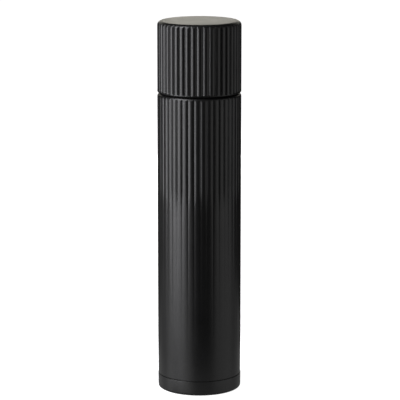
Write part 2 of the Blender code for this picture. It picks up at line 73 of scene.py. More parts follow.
NOISE_LOW, NOISE_HIGH = 0.3, 0.7  # nearly all of a noise lies between these


def new_material(name, color, roughness, metallic=0.0):
    """A material with its Principled shader, ready for textures."""
    made = bpy.data.materials.new(name)
    made.use_nodes = True
    shader = made.node_tree.nodes["Principled BSDF"]
    shader.inputs["Base Color"].default_value = (*color, 1.0)
    shader.inputs["Roughness"].default_value = roughness
    shader.inputs["Metallic"].default_value = metallic
    return made


def add_node(made, kind, **inputs):
    node = made.node_tree.nodes.new(kind)
    for name, value in inputs.items():
        node.inputs[name.replace("_", " ")].default_value = value
    return node


def link(made, source, target):
    made.node_tree.links.new(source, target)


def noise(made, vector, scale, detail=2.0, roughness=0.5):
    node = add_node(made, "ShaderNodeTexNoise", Scale=scale, Detail=detail, Roughness=roughness)
    link(made, vector, node.inputs["Vector"])
    return node.outputs["Fac"]


def position(made):
    return add_node(made, "ShaderNodeTexCoord").outputs["Object"]


def stretched(made, vector, scale):
    node = add_node(made, "ShaderNodeMapping", Scale=scale)
    link(made, vector, node.inputs["Vector"])
    return node.outputs["Vector"]


def remap(made, value, low, high):
    """A noise spread over low to high."""
    node = add_node(
        made, "ShaderNodeMapRange", From_Min=NOISE_LOW, From_Max=NOISE_HIGH, To_Min=low, To_Max=high
    )
    link(made, value, node.inputs["Value"])
    return node.outputs["Result"]


def blend_colors(made, value, first, second):
    """The first colour where a noise is low, the second where it is high."""
    node = made.node_tree.nodes.new("ShaderNodeValToRGB")
    node.color_ramp.elements[0].position = NOISE_LOW
    node.color_ramp.elements[1].position = NOISE_HIGH
    node.color_ramp.elements[0].color = (*first, 1.0)
    node.color_ramp.elements[1].color = (*second, 1.0)
    link(made, value, node.inputs["Fac"])
    return node.outputs["Color"]


def bump(made, heights, distance):
    """Bump from one or more heights, laid over each other, each (value, strength)."""
    shader = made.node_tree.nodes["Principled BSDF"]
    previous = None
    for value, strength in heights:
        node = add_node(made, "ShaderNodeBump", Strength=strength, Distance=distance)
        link(made, value, node.inputs["Height"])
        if previous is not None:
            link(made, previous, node.inputs["Normal"])
        previous = node.outputs["Normal"]
    link(made, previous, shader.inputs["Normal"])


def set_inputs(made, color=None, roughness=None):
    shader = made.node_tree.nodes["Principled BSDF"]
    if color is not None:
        link(made, color, shader.inputs["Base Color"])
    if roughness is not None:
        link(made, roughness, shader.inputs["Roughness"])


def tinted(color, share):
    return [c * share for c in color]


def black_coat(name):
    """Satin black coating with the fine grain and faint peel of sprayed powder."""
    made = new_material(name, SATIN_BLACK, SATIN_ROUGHNESS)
    coords = position(made)
    fine = noise(made, coords, SPRAY_GRAIN, 3.0, 0.6)
    middle = noise(made, coords, SPRAY_GRAIN * 0.4)
    peel = noise(made, coords, SPRAY_GRAIN * 0.16, 1.5)
    broad = noise(made, coords, 45.0)
    set_inputs(
        made,
        color=blend_colors(made, fine, tinted(SATIN_BLACK, 0.75), tinted(SATIN_BLACK, 1.35)),
        roughness=remap(made, broad, SATIN_ROUGHNESS - 0.02, SATIN_ROUGHNESS + 0.03),
    )
    bump(made, [(peel, 1.0), (middle, 0.8), (fine, 0.3)], 0.00003)
    return made


def moulded(name, color, roughness):
    """Moulded plastic with a fine eroded texture."""
    made = new_material(name, color, roughness)
    coords = position(made)
    fine = noise(made, coords, 1500.0, 4.0, 0.6)
    broad = noise(made, coords, 60.0)
    set_inputs(
        made,
        color=blend_colors(made, broad, tinted(color, 0.9), tinted(color, 1.1)),
        roughness=remap(made, fine, roughness - 0.05, roughness + 0.06),
    )
    bump(made, [(fine, 0.25)], 0.00004)
    return made


def steel(name, color, roughness, line_scale):
    """Stainless steel with the fine rings that turning and polishing leave."""
    made = new_material(name, color, roughness, 1.0)
    coords = position(made)
    lines = noise(made, stretched(made, coords, (0.02, 0.02, 1.0)), line_scale, 4.0, 0.7)
    cloud = noise(made, coords, 70.0, 3.0)
    set_inputs(
        made,
        color=blend_colors(made, cloud, tinted(color, 0.94), color),
        roughness=remap(made, lines, roughness - 0.06, roughness + 0.08),
    )
    bump(made, [(lines, 0.12)], 0.00002)
    return made


def silicone(name, color, roughness):
    """Matt silicone with a faint cloudy bloom."""
    made = new_material(name, color, roughness)
    coords = position(made)
    fine = noise(made, coords, 1800.0)
    bloom = noise(made, coords, 130.0, 3.0)
    set_inputs(
        made,
        color=blend_colors(made, bloom, tinted(color, 0.92), tinted(color, 1.08)),
        roughness=remap(made, bloom, roughness - 0.05, roughness + 0.05),
    )
    bump(made, [(fine, 0.12)], 0.00003)
    return made


def make_foil():
    """Bright foil with the creases of hand wrapping."""
    made = new_material("foil", (0.83, 0.83, 0.84), 0.2, 1.0)
    coords = position(made)
    creases = add_node(made, "ShaderNodeTexVoronoi", Scale=160.0)
    creases.feature = "DISTANCE_TO_EDGE"
    link(made, coords, creases.inputs["Vector"])
    cloud = noise(made, coords, 90.0, 4.0)
    set_inputs(made, roughness=remap(made, cloud, 0.12, 0.32))
    bump(made, [(creases.outputs["Distance"], 0.5), (cloud, 0.4)], 0.0006)
    return made


def make_foam():
    """Closed-cell foam: small pale cells."""
    made = new_material("foam", (0.82, 0.81, 0.78), 0.9)
    cells = add_node(made, "ShaderNodeTexVoronoi", Scale=900.0)
    link(made, position(made), cells.inputs["Vector"])
    set_inputs(
        made,
        color=blend_colors(made, cells.outputs["Distance"], (0.70, 0.69, 0.66), (0.86, 0.85, 0.82)),
    )
    bump(made, [(cells.outputs["Distance"], 0.6)], 0.0002)
    return made


def make_glass_bead():
    """Greenish glass, melted and slightly wavy."""
    made = new_material("glass_bead", (0.25, 0.28, 0.26), 0.12)
    cloud = noise(made, position(made), 500.0, 3.0)
    set_inputs(
        made,
        color=blend_colors(made, cloud, (0.20, 0.24, 0.22), (0.30, 0.33, 0.30)),
        roughness=remap(made, cloud, 0.08, 0.2),
    )
    bump(made, [(cloud, 0.3)], 0.0001)
    return made


SATIN_BLACK = (0.0036, 0.0036, 0.0037)
SATIN_ROUGHNESS = 0.34
SPRAY_GRAIN = 2600.0
BLACK_PAINT = black_coat("black_paint")
BLACK_MOULDING = black_coat("black_moulding")
BLACK_PLASTIC = moulded("black_plastic", (0.016, 0.016, 0.017), 0.46)
GREY_PLASTIC = moulded("grey_plastic", (0.22, 0.22, 0.23), 0.42)
BARE_STEEL = steel("bare_steel", (0.62, 0.60, 0.58), 0.24, 3200.0)
SPRING_STEEL = steel("spring_steel", (0.55, 0.55, 0.54), 0.22, 5000.0)
GETTER_METAL = steel("getter_metal", (0.22, 0.22, 0.24), 0.5, 900.0)
BLACK_SILICONE = silicone("black_silicone", (0.03, 0.03, 0.031), 0.6)
PALE_SILICONE = silicone("pale_silicone", (0.62, 0.62, 0.60), 0.45)
FOIL = make_foil()
FOAM = make_foam()
GLASS_BEAD = make_glass_bead()


# ---------------------------------------------------------------- mesh helpers


def arc(centre_r, centre_z, radius, start, end, steps):
    """Points along an arc, angles in degrees from the outward direction."""
    turns = [math.radians(start + (end - start) * i / steps) for i in range(steps + 1)]
    return [(centre_r + radius * math.cos(a), centre_z + radius * math.sin(a)) for a in turns]


def soften(points, radius, steps=3, closed=True):
    """The outline with each corner rounded. A point may carry its own radius."""
    most = 0.45  # of a side's length, for the rounding at either end of it
    made = []
    count = len(points)
    for i, point in enumerate(points):
        here = Vector(point[:2])
        size = point[2] if len(point) > 2 else radius
        if size == 0 or (not closed and i in (0, count - 1)):
            made.append((here.x, here.y))
            continue
        before = Vector(points[i - 1][:2]) - here
        after = Vector(points[(i + 1) % count][:2]) - here
        reach = min(size, before.length * most, after.length * most)
        first = here + before.normalized() * reach
        last = here + after.normalized() * reach
        for k in range(steps + 1):
            t = k / steps
            spot = first * (1 - t) ** 2 + here * 2 * t * (1 - t) + last * t**2
            made.append((spot.x, spot.y))
    return made


def straight(start, end, longest):
    """Even points along a straight line, no further apart than longest."""
    (r1, z1), (r2, z2) = start, end
    count = max(1, math.ceil(math.hypot(r2 - r1, z2 - z1) / longest))
    return [(r1 + (r2 - r1) * k / count, z1 + (z2 - z1) * k / count) for k in range(count)] + [end]


def even_angles(count):
    return [TAU * k / count for k in range(count)]


def new_piece(name, verts, faces, look):
    mesh = bpy.data.meshes.new(name)
    mesh.from_pydata([(x * MM, y * MM, z * MM) for x, y, z in verts], [], faces)
    mesh.update()
    mesh.shade_smooth()
    mesh.set_sharp_from_angle(angle=SHARP_ANGLE)
    mesh.materials.append(look)
    made = bpy.data.objects.new(name, mesh)
    bpy.context.scene.collection.objects.link(made)
    return made


def turn(name, profile, look, angles, press=None, closed=True):
    """A turned piece. press(angle, r, z) may change a point's radius."""
    verts, rings = [], []
    for r, z in profile:
        if r < ON_AXIS:
            rings.append([len(verts)])
            verts.append((0.0, 0.0, z))
            continue
        start = len(verts)
        for a in angles:
            reach = press(a, r, z) if press else r
            verts.append((reach * math.cos(a), reach * math.sin(a), z))
        rings.append(list(range(start, len(verts))))
    faces = []
    pairs = list(zip(rings, rings[1:]))
    if closed:
        pairs.append((rings[-1], rings[0]))
    count = len(angles)
    for top, low in pairs:
        for k in range(count):
            n = (k + 1) % count
            if len(top) == 1 and len(low) == 1:
                break
            if len(top) == 1:
                faces.append((top[0], low[k], low[n]))
            elif len(low) == 1:
                faces.append((top[k], low[0], top[n]))
            else:
                faces.append((top[k], low[k], low[n], top[n]))
    return new_piece(name, verts, faces, look)


def place(piece, body, node):
    """The piece stands for its CAD node and moves with that node's body."""
    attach(piece, body)
    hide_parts(node)


def turned_node(name, outline, look, body, radius=0.25, steps=4, closed=True, count=128, press=None):
    """A turned piece with rounded corners that stands for the CAD node of its name."""
    fine = soften(outline, radius, steps, closed)
    place(turn(name + "_fine", fine, look, even_angles(count), press, closed), body, name)


def cut(target, cutter):
    """Cuts the cutter out of the target and removes it."""
    boolean = target.modifiers.new("cut", "BOOLEAN")
    boolean.operation = "DIFFERENCE"
    boolean.object = cutter
    bpy.context.view_layer.update()
    graph = bpy.context.evaluated_depsgraph_get()
    mesh = bpy.data.meshes.new_from_object(target.evaluated_get(graph))
    target.modifiers.clear()
    target.data = mesh
    mesh.shade_smooth()
    mesh.set_sharp_from_angle(angle=SHARP_ANGLE)
    bpy.data.objects.remove(cutter)


# ---------------------------------------------------------------- ribs and threads

RIBS = 42
RIB_PITCH = TAU / RIBS
BODY_RIB_DEPTH = 0.66
CUP_RIB_DEPTH = 1.08
BODY_RIB_PHASE = math.radians(-88.3)  # where a valley lies, from +X
CUP_RIB_PHASE = math.radians(-84.9)
VALLEY_SHARE = 0.08  # share of a rib's half width that the valley's round takes
# Where the mesh's edges lie across a rib, closest together at the valleys
RIB_SHARES = (0, 0.018, 0.04, 0.09, 0.17, 0.27, 0.38, 0.5, 0.62, 0.73, 0.83, 0.91, 0.96, 0.982)
RIB_END_POWER = 0.6  # less than 1, so that the valleys have round ends
ARCH_ROUND = 0.12  # how softly a valley runs into a rounded edge

THREAD_LEAD = 6.0
THREAD_ROOT, THREAD_CREST = 0.85, 0.4  # half widths of a thread
THREAD_RUN_OUT = 0.7  # radians over which a thread fades at each end
THREAD_ROW = 0.25  # height of the mesh rows that carry a thread
LONG_TURNS = 1.5  # the thread on the fixed piece
SHORT_TURNS = 0.75  # the thread on the piece that turns

BODY_LOW, NECK_TOP, CREST = measure("outer_shell")
BASE_LOW, BASE_TOP, BASE_REACH = measure("base_cup")
CUP_RIM, CUP_TOP, CUP_REACH = measure("cup_shell")
COLLAR_LOW, COLLAR_TOP, COLLAR_REACH = measure("neck_collar")
SHOULDER = COLLAR_LOW - GAP
NECK_R = measure("stopper_gasket")[2] + 0.1


def rib_drop(angle, depth):
    """How far a rib's surface lies inside the crests: convex, with a tight round valley."""
    half = math.pi * CREST / RIBS
    bend = (half**2 + depth**2) / (2 * depth)
    x = abs((angle / RIB_PITCH) % 1.0 - 0.5) * 2 * half
    edge = (1 - VALLEY_SHARE) * half
    if x <= edge:
        return bend - math.sqrt(bend**2 - x**2)
    slope = edge / math.sqrt(bend**2 - edge**2)
    over = x - edge
    return bend - math.sqrt(bend**2 - edge**2) + slope * over * (1 - over / (2 * (half - edge)))


def softer_min(a, b):
    """The smaller of two lengths, with a soft change from one to the other."""
    near = max(ARCH_ROUND - abs(a - b), 0.0) / ARCH_ROUND
    return min(a, b) - near**2 * ARCH_ROUND / 4


def rib_angles(phase):
    return [phase + (rib + share) * RIB_PITCH for rib in range(RIBS) for share in RIB_SHARES]


def screw_ridge(wall_r, crest_r, start_z, start_angle, turns):
    """A press function that raises a screw thread on the wall at wall_r."""
    end = turns * TAU

    def press(angle, r, z):
        if abs(r - wall_r) > 0.01:
            return r
        best = 0.0
        first = (angle - start_angle) % TAU
        for lap in range(math.ceil(turns) + 1):
            along = first + lap * TAU
            if along > end:
                break
            off = abs(z - start_z - THREAD_LEAD * along / TAU)
            share = max(0.0, min(1.0, (THREAD_ROOT - off) / (THREAD_ROOT - THREAD_CREST)))
            share = share * share * (3 - 2 * share)
            fade = min(1.0, along / THREAD_RUN_OUT, (end - along) / THREAD_RUN_OUT)
            best = max(best, share * fade)
        return r + (crest_r - wall_r) * best

    return press


# ---------------------------------------------------------------- body

BODY_TAPER_TOP = 45.0  # the wall draws in slightly below this height
BODY_TAPER = 0.3
RIB_FULL_Z = 157.0  # the ribs have their full depth above this height
RIB_STEP_Z = 139.0  # the quick part of the fade ends here, with LOW_RIB_SHARE of the depth left
LOW_RIB_SHARE = 0.42
RIB_END_Z = 22.0  # the long part of the fade ends here
QUICK_FADE_POWER = 1.6
SHOULDER_ROUND = 2.6
ARCH_START = 0.5  # depth below the shoulder where the ribs start
ARCH_LENGTH = 1.9  # height over which they reach their full depth
RIBBED_R = CREST - 1.6  # what lies further in takes no ribs
HEM_R = CREST - 1.2  # the stepped-in lower end, which the foot covers
FOOT_SEAM = 0.12  # height of the dark line above the foot


def body_wall(z):
    """Radius of the body's crests at a height."""
    share = max(0.0, min(1.0, (BODY_TAPER_TOP - z) / (BODY_TAPER_TOP - BASE_TOP)))
    return CREST - BODY_TAPER * share


def rib_share(z):
    """Share of the full rib depth at a height: a quick drop, then a long even fade."""
    if z < RIB_STEP_Z:
        return LOW_RIB_SHARE * max(0.0, (z - RIB_END_Z) / (RIB_STEP_Z - RIB_END_Z))
    quick = min(1.0, (z - RIB_STEP_Z) / (RIB_FULL_Z - RIB_STEP_Z))
    return LOW_RIB_SHARE + (1.0 - LOW_RIB_SHARE) * quick**QUICK_FADE_POWER


def body_ribs(angle, r, z):
    """The body's ribs, full at the shoulder and fading towards the foot."""
    if r < RIBBED_R or z > SHOULDER + 0.01:
        return r
    below = (SHOULDER - z - ARCH_START) / ARCH_LENGTH
    share = rib_share(z) * max(0.0, min(1.0, below)) ** RIB_END_POWER
    if share == 0.0:
        return r
    drop = rib_drop(angle - BODY_RIB_PHASE, BODY_RIB_DEPTH) * share
    return softer_min(r, body_wall(z) - drop + ARCH_ROUND / 4)


def make_body():
    """The jacket: neck, shoulder, ribbed wall and stepped-in hem."""
    neck_round = 0.9  # between the neck and the shoulder
    round_z = SHOULDER - SHOULDER_ROUND
    edge_z = BASE_TOP + FOOT_SEAM
    edge_round = 0.3
    inner_r = CREST - 2.2
    outer = [(NECK_R, NECK_TOP)]
    outer += arc(NECK_R + neck_round, SHOULDER + neck_round, neck_round, 180, 270, 5)
    outer += [(CREST - 3.4, SHOULDER)]
    outer += arc(CREST - SHOULDER_ROUND, round_z, SHOULDER_ROUND, 88, 2, 26)
    rows = 56
    for k in range(rows + 1):
        z = round_z + (edge_z + 0.9 - round_z) * k / rows
        outer.append((body_wall(z), z))
    outer += arc(body_wall(edge_z) - edge_round, edge_z + edge_round, edge_round, 0, -70, 5)
    outer += [(HEM_R, edge_z), (HEM_R, BODY_LOW)]
    inner = [(HEM_R - STEEL, BODY_LOW), (HEM_R - STEEL, edge_z + 1.5), (inner_r, edge_z + 3.0)]
    inner += [(inner_r, SHOULDER - 4.0), (CREST - 6.0, SHOULDER - STEEL)]
    inner += [(NECK_R - 0.1, SHOULDER - STEEL), (NECK_R - STEEL, SHOULDER), (NECK_R - STEEL, NECK_TOP)]
    body = turn("outer_shell_fine", outer + inner, BLACK_PAINT, rib_angles(BODY_RIB_PHASE), body_ribs)
    place(body, "flask", "outer_shell")


def make_base():
    """The smooth foot: slightly drawn in, with a round lower edge."""
    draft = 0.12
    edge_round = 2.2
    bore_r = BASE_REACH - 0.7
    recess_r = measure("base_pad")[2] + 0.7
    recess_z = 1.6  # underside of the plate, over the pad
    raised_z, floor_z = 2.4, 1.2  # its upper side, over the pad and round it
    profile = [(0, raised_z), (recess_r, raised_z, 0.3), (recess_r + 1.0, floor_z, 0.3)]
    profile += [(bore_r - 0.7, floor_z, 0.3), (bore_r, floor_z + 0.7, 0.3), (bore_r, BASE_TOP, 0.1)]
    profile += [(BASE_REACH, BASE_TOP), (BASE_REACH - draft, BASE_LOW, edge_round)]
    profile += [(recess_r + 0.6, BASE_LOW, 0.4), (recess_r - 0.4, recess_z, 0.3), (0, recess_z)]
    turned_node("base_cup", profile, BLACK_PAINT, "flask", 0.2, 7, closed=False, count=224)


def make_pad():
    """The silicone pad, with three shallow grooves in its underside."""
    low, high, reach = measure("base_pad")
    groove_z = low + 0.35
    profile = [(0, high), (reach, high, 0.3), (reach, low, 0.35)]
    for share in (0.82, 0.6, 0.38):
        r = share * reach
        profile += [(r + 0.7, low, 0.1), (r + 0.4, groove_z, 0.1)]
        profile += [(r - 0.4, groove_z, 0.1), (r - 0.7, low, 0.1)]
    profile += [(0, low)]
    turned_node("base_pad", profile, BLACK_SILICONE, "flask", steps=3, closed=False)


# ---------------------------------------------------------------- cup

CUP_TOP_ROUND = 3.5
CUP_RIB_START = 1.0  # height of the plain rim below the ribs
CUP_RIB_RISE = 0.7  # height over which the ribs reach their full depth
CUP_RIBBED_R = CUP_REACH - CUP_RIB_DEPTH - 0.3  # what lies further in takes no ribs


def cup_ribs(angle, r, z):
    """Straight ribs that run up into the cup's rounded top edge."""
    if r < CUP_RIBBED_R:
        return r
    share = max(0.0, min(1.0, (z - CUP_RIM - CUP_RIB_START) / CUP_RIB_RISE))
    if share == 0.0:
        return r
    drop = rib_drop(angle - CUP_RIB_PHASE, CUP_RIB_DEPTH) * share**RIB_END_POWER
    return softer_min(r, CUP_REACH - drop + ARCH_ROUND / 4)


def make_cup_shell():
    """The ribbed outside of the cup, closed by its flat top."""
    bore_r = measure("cup_liner")[2] + GAP
    inner_z = measure("cup_liner")[1] + GAP
    edge_r = CUP_REACH - CUP_TOP_ROUND
    band_z = CUP_RIM + CUP_RIB_START
    rim_round = 0.9
    corner = 3.3
    side = [(0, CUP_TOP), (edge_r * 0.5, CUP_TOP)]
    side += arc(edge_r, CUP_TOP - CUP_TOP_ROUND, CUP_TOP_ROUND, 90, 0, 34)
    side += straight(side[-1], (CUP_REACH, band_z + 1.4), 6.0)[1:]
    side += straight(side[-1], (CUP_REACH, band_z - 0.1), 0.16)[1:-1]
    side += arc(CUP_REACH - rim_round, CUP_RIM + rim_round, rim_round, 0, -90, 7)
    inner = arc(bore_r + 0.3, CUP_RIM + 0.3, 0.3, -90, -180, 3)
    inner += arc(bore_r - corner, inner_z - corner, corner, 0, 90, 6) + [(0, inner_z)]
    angles = rib_angles(CUP_RIB_PHASE)
    shell = turn("cup_shell_fine", side + inner, BLACK_MOULDING, angles, cup_ribs, closed=False)
    place(shell, "cup", "cup_shell")


def make_cup_liner():
    """The steel drinking cup inside the shell, with a rounded lip."""
    low, high, reach = measure("cup_liner")
    wall = 0.6
    corner = 3.6
    corner_r, corner_z = reach - corner, high - corner
    profile = [(0, high)] + arc(corner_r, corner_z, corner, 90, 0, 10)
    profile += [(reach, low + 0.2), (reach - 0.2, low), (reach - 0.4, low), (reach - wall, low + 0.2)]
    profile += arc(corner_r, corner_z, corner - wall, 0, 90, 10) + [(0, high - wall)]
    liner = turn("cup_liner_fine", profile, BARE_STEEL, even_angles(160), closed=False)
    place(liner, "cup", "cup_liner")


def make_cup_thread_ring():
    """The ring in the cup's mouth, with the thread that grips the collar."""
    low, high, reach = measure("cup_thread_ring")
    flange_z = low + 0.9
    ring_r = reach - 0.9
    bore_r = COLLAR_REACH + 0.4
    outer = [(ring_r, high), (ring_r, flange_z, 0.1), (reach, flange_z), (reach, low), (bore_r, low)]
    profile = soften(outer, 0.25, closed=False)[:-1]
    profile += straight((bore_r, low + 0.4), (bore_r, high), THREAD_ROW) + [(bore_r + 0.4, high)]
    thread = screw_ridge(bore_r, bore_r - 1.0, low + 2.2, math.pi, SHORT_TURNS)
    ring = turn("cup_thread_ring_fine", profile, BLACK_PLASTIC, even_angles(160), thread)
    place(ring, "cup", "cup_thread_ring")


def make_cup_gasket():
    """The rim ring, with a bead along its lower face."""
    low, high, reach = measure("cup_gasket")
    bore_r = COLLAR_REACH + 0.25
    middle = (reach + bore_r) / 2
    face_z = low + 0.35
    profile = [(reach, high), (reach, face_z), (middle + 0.7, face_z), (middle, low)]
    profile += [(middle - 0.7, face_z), (bore_r, face_z), (bore_r, high)]
    turned_node("cup_gasket", profile, BLACK_SILICONE, "cup_seal", 0.3)


# ---------------------------------------------------------------- neck and bottle


def make_collar():
    """The collar on the neck, with the thread that the cup screws on."""
    wall_r = COLLAR_REACH - 1.1
    foot_r = wall_r + 1.0
    bore_r = NECK_R + GAP
    wall_top, wall_low = COLLAR_TOP - 1.2, COLLAR_LOW + 1.3
    lip = [(bore_r, COLLAR_TOP), (wall_r, COLLAR_TOP, 0.5), (wall_r, wall_top)]
    foot = [(wall_r, wall_low), (wall_r, COLLAR_LOW + 1.0, 0.2), (foot_r, COLLAR_LOW + 1.0)]
    foot += [(foot_r, COLLAR_LOW), (bore_r, COLLAR_LOW), (bore_r, COLLAR_TOP)]
    profile = soften(lip, 0.3, closed=False)[1:]
    profile += straight((wall_r, wall_top), (wall_r, wall_low), THREAD_ROW)[1:]
    profile += soften(foot, 0.25, closed=False)[1:]
    thread = screw_ridge(wall_r, COLLAR_REACH, COLLAR_LOW + 3.7, 0.0, LONG_TURNS)
    collar = turn("neck_collar_fine", profile, BLACK_PLASTIC, even_angles(160), thread)
    place(collar, "flask", "neck_collar")


def make_inner_bottle():
    """The steel bottle: rolled lip, threaded mouth, shoulder and long plain wall."""
    low, high, reach = measure("inner_bottle")
    wall = 0.6
    mouth_r = 21.5
    thread_low = high - 15.8
    shoulder_z = high - 29.3
    outer = [(mouth_r, high), (NECK_R, high, 0.3), (NECK_R, high - wall, 0.1)]
    outer += [(mouth_r + wall, high - wall, 0.3), (mouth_r + wall, shoulder_z + 7.2, 1.5)]
    outer += [(reach - 0.9, shoulder_z + 2.0, 1.0), (reach, shoulder_z, 1.0), (reach, low, 0.1)]
    inner = [(reach - STEEL, low, 0.1), (reach - STEEL, shoulder_z - 0.1, 1.0)]
    inner += [(reach - 1.3, shoulder_z + 1.6, 1.0), (mouth_r, shoulder_z + 6.9, 0.8)]
    inner += [(mouth_r, thread_low)]
    profile = soften(outer + inner, 0.2, 4, closed=False)
    profile += straight((mouth_r, thread_low), (mouth_r, high - 1.0), THREAD_ROW)[1:]
    thread = screw_ridge(mouth_r, mouth_r - 1.05, high - 14.8, 0.0, LONG_TURNS)
    bottle = turn("inner_bottle_fine", profile, BARE_STEEL, even_angles(160), thread)
    place(bottle, "flask", "inner_bottle")


def make_inner_bottom():
    """The dished floor of the bottle, pressed in two steps."""
    low, high, reach = measure("inner_bottom")
    floor_z = low + STEEL
    upper = [(0, floor_z), (reach * 0.55, floor_z), (reach - 1.6, floor_z, 0.8)]
    upper += [(reach - STEEL, high - 0.1, 0.4)]
    lower = [(reach - 0.25, high, 0.1), (reach, high - 0.1, 0.1), (reach, low + 0.9, 0.5)]
    lower += [(reach - 0.9, low, 0.5), (0, low)]
    turned_node(
        "inner_bottom", upper + lower, BARE_STEEL, "flask", 0.3, closed=False, count=96
    )


# ---------------------------------------------------------------- stopper

STOPPER_LOW, STOPPER_TOP, FLANGE_R = measure("stopper_body")
PLUG_R = FLANGE_R - 4.4
BOWL_R = FLANGE_R - 1.6
FLANGE_Z = STOPPER_TOP - 9.2
FLUTES = 48
FLUTE_DEPTH = 0.4


def grip_flutes(angle, r, z):
    """Fine upright flutes round the flange, to hold it by."""
    if r < FLANGE_R - 0.01 or not FLANGE_Z + 1.2 < z < STOPPER_TOP - 1.2:
        return r
    return r - FLUTE_DEPTH * (0.5 - 0.5 * math.cos(FLUTES * angle))


def make_stopper_body():
    """The plug: fluted flange, threaded wall, valve port below and pouring bowl above."""
    port_r = 8.0
    bore_r = FLANGE_R - 6.8
    floor_z = STOPPER_LOW + 2.2
    bowl_z = STOPPER_TOP - 7.2
    grip_top, grip_low = STOPPER_TOP - 1.0, FLANGE_Z + 1.0
    thread_top, thread_low = STOPPER_LOW + 14.0, STOPPER_LOW + 6.5
    rim = [(BOWL_R, STOPPER_TOP), (FLANGE_R, STOPPER_TOP, 0.5), (FLANGE_R, grip_top)]
    flange = straight((FLANGE_R, grip_top), (FLANGE_R, grip_low), 0.35)
    under = [(FLANGE_R, grip_low), (FLANGE_R, FLANGE_Z, 0.5)]
    under += [(PLUG_R, FLANGE_Z), (PLUG_R, thread_top)]
    screwed = straight((PLUG_R, thread_top), (PLUG_R, thread_low), THREAD_ROW)
    tail = [(PLUG_R, thread_low), (PLUG_R, STOPPER_LOW + 1.0, 0.5), (PLUG_R - 1.0, STOPPER_LOW, 0.4)]
    tail += [(port_r, STOPPER_LOW), (port_r, floor_z), (bore_r, floor_z, 0.4)]
    tail += [(bore_r, bowl_z, 0.5), (BOWL_R, bowl_z, 1.2), (BOWL_R, STOPPER_TOP)]
    profile = soften(rim, 0.3, 4, closed=False)[1:] + flange[1:-1]
    profile += soften(under, 0.3, 4, closed=False)[:-1] + screwed[:-1]
    profile += soften(tail, 0.3, 4, closed=False)
    ridge = screw_ridge(PLUG_R, PLUG_R + 1.1, STOPPER_LOW + 8.0, math.pi, SHORT_TURNS)

    def press(angle, r, z):
        return grip_flutes(angle, ridge(angle, r, z), z)

    plug = turn("stopper_body_fine", profile, BLACK_PLASTIC, even_angles(6 * FLUTES), press)
    middle_r = (BOWL_R + FLANGE_R) / 2
    window_z = STOPPER_TOP - 4.4
    bpy.ops.mesh.primitive_cube_add(size=MM, location=(middle_r * MM, 0, window_z * MM))
    window = bpy.context.object
    window.scale = (8.0, 14.0, 4.6)
    bevel = window.modifiers.new("corners", "BEVEL")
    bevel.width = 1.4 * MM
    bevel.segments = 5
    cut(plug, window)
    bpy.ops.mesh.primitive_cylinder_add(
        vertices=48, radius=2.2 * MM, depth=8.0 * MM, location=(-middle_r * MM, 0, window_z * MM)
    )
    vent = bpy.context.object
    vent.rotation_euler = (0, math.pi / 2, 0)
    cut(plug, vent)
    place(plug, "stopper", "stopper_body")


def make_stopper_fittings():
    """The gasket under the flange, the pouring channel and the cover over the bowl."""
    low, high, reach = measure("stopper_gasket")
    inner_r = PLUG_R + 0.4
    middle = (low + high) / 2
    lips = [(reach, high), (reach - 0.25, middle), (reach, low), (inner_r, low), (inner_r, high)]
    turned_node("stopper_gasket", lips, PALE_SILICONE, "stopper_seal", 0.35)

    low, high, reach = measure("flow_tube")
    flange_z = high - 1.5
    tube_r, bore_r = 11.3, 9.0
    channel = [(reach, high), (reach, flange_z), (tube_r, flange_z), (tube_r, low)]
    channel += [(bore_r, low), (bore_r, high, 0.8)]
    turned_node("flow_tube", channel, GREY_PLASTIC, "stopper")

    low, high, reach = measure("stopper_cover")
    bore_r = measure("push_button")[2] + 0.6
    wall_r = bore_r + 1.4
    flange_low = low + 2.7
    flange_top = flange_low + 2.0
    cover = [(bore_r, high), (wall_r, high, 0.5), (wall_r, flange_top, 0.4), (reach, flange_top, 0.5)]
    cover += [(reach, flange_low), (wall_r, flange_low), (wall_r, low), (bore_r, low)]
    turned_node("stopper_cover", cover, BLACK_PLASTIC, "stopper", count=160)


def make_button():
    """The button, a shallow dish with a ring groove, and the seal in its side groove."""
    low, high, reach = measure("push_button")
    seal_low, seal_high, seal_r = measure("button_seal")
    groove_r = reach - 0.8
    groove_low, groove_high = seal_low - GAP, seal_high + GAP
    roof = high - 2.4
    skirt_r = reach - 1.6
    bore_r = 3.3
    bore_top = measure("valve_stem")[1] + GAP
    boss_r, boss_low = bore_r + 2.3, low + 1.3
    top = [(0, high - 0.7), (6.0, high - 0.6), (9.6, high - 0.25), (11.2, high - 0.2, 0.2)]
    top += [(11.5, high - 0.5, 0.1), (12.1, high - 0.5, 0.1), (12.4, high - 0.1, 0.2)]
    top += [(reach - 1.3, high, 0.6), (reach, high - 1.3, 0.9)]
    side = [(reach, groove_high, 0.1), (groove_r, groove_high, 0.1), (groove_r, groove_low, 0.1)]
    side += [(reach, groove_low, 0.1), (reach, low), (skirt_r, low), (skirt_r, roof, 0.8)]
    boss = [(boss_r, roof, 0.6), (boss_r, boss_low), (bore_r, boss_low, 0.2)]
    boss += [(bore_r, bore_top, 0.1), (0, bore_top)]
    outline = top + side + boss
    turned_node(
        "push_button", outline, GREY_PLASTIC, "button", 0.3, closed=False, count=160
    )

    inner_r = groove_r + GAP
    seal = [(seal_r, seal_high), (seal_r, seal_low), (inner_r, seal_low), (inner_r, seal_high)]
    turned_node("button_seal", seal, PALE_SILICONE, "button", 0.4)


